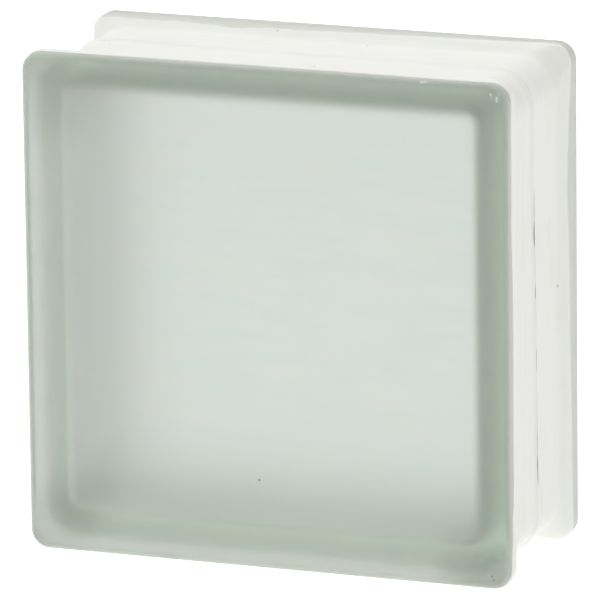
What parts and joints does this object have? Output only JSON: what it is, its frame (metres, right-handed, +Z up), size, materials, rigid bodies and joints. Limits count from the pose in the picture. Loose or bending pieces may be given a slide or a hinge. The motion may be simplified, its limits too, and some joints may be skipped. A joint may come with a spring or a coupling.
{
  "type": "glass block",
  "caption": "Hollow square building block of pale green satin glass, with a flange round each face and a white-coated mortar channel round its edge, for laying in translucent walls.",
  "frame": {"origin": "on the floor under the middle of the block, which stands on the bottom edges of its two flanges", "axes": "+Z up, +X to the right along the front face, +Y through the block from the front face to the back face"},
  "size_m": [0.19, 0.08, 0.19],
  "materials": {
    "satin_glass": "satin, etched faces, pale green soda-lime glass",
    "white_edge_coating": "brushed-on matt white film"
  },
  "bodies": {
    "root": {"glass_body": "satin_glass", "edge_coating": "white_edge_coating"}
  },
  "joints": []
}
